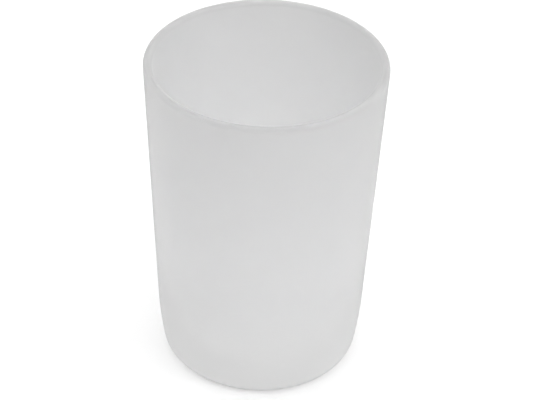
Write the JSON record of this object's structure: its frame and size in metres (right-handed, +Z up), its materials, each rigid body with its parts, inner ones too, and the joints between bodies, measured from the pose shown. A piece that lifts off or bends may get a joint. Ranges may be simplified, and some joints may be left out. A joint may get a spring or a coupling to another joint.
{
  "type": "bathroom tumbler",
  "caption": "Frosted glass bathroom tumbler, moulded in one piece, with a slightly flared wall, a fully rounded rim and a soft-cornered base that stands on a flat ring.",
  "frame": {"origin": "centre of the level that the tumbler stands on, on its axis of revolution", "axes": "+Z up along the axis of revolution, towards the open rim; X and Y are level and of free choice, because the body is a solid of revolution"},
  "size_m": [0.07, 0.07, 0.1],
  "materials": {
    "frosted_glass": "satin"
  },
  "bodies": {
    "root": {"tumbler": "frosted_glass"}
  },
  "joints": []
}
